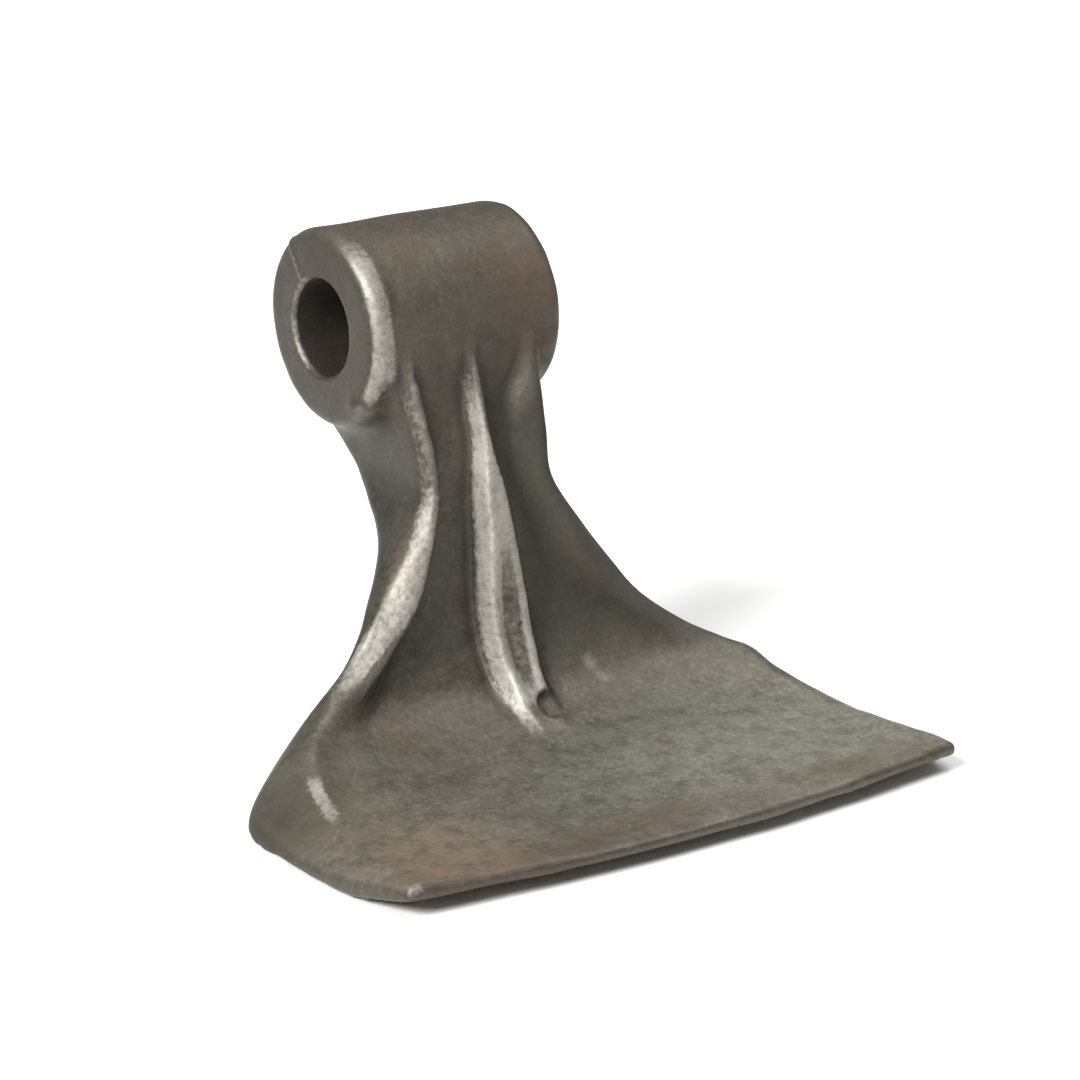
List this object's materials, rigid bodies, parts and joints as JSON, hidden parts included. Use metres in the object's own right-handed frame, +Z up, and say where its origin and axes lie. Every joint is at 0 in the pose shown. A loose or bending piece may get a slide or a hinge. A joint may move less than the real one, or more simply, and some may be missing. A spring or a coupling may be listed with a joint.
{
  "type": "hammer flail",
  "caption": "Forged steel hammer flail with a bored pivot eye, a ribbed shank and a wide curved cutting lip for a mulcher or flail mower rotor.",
  "frame": {"origin": "centre of the eye bore, midway between the eye's two end faces", "axes": "+X along the eye bore; -Y towards the cutting edge; +Z up when the hammer stands on the underside of its lip"},
  "size_m": [0.182, 0.1532, 0.1367],
  "materials": {
    "forged_steel": "raw drop-forged steel with dark grey-brown scale, light rust tints and edges rubbed bright"
  },
  "bodies": {
    "root": {"hammer_forging": "forged_steel"}
  },
  "joints": []
}
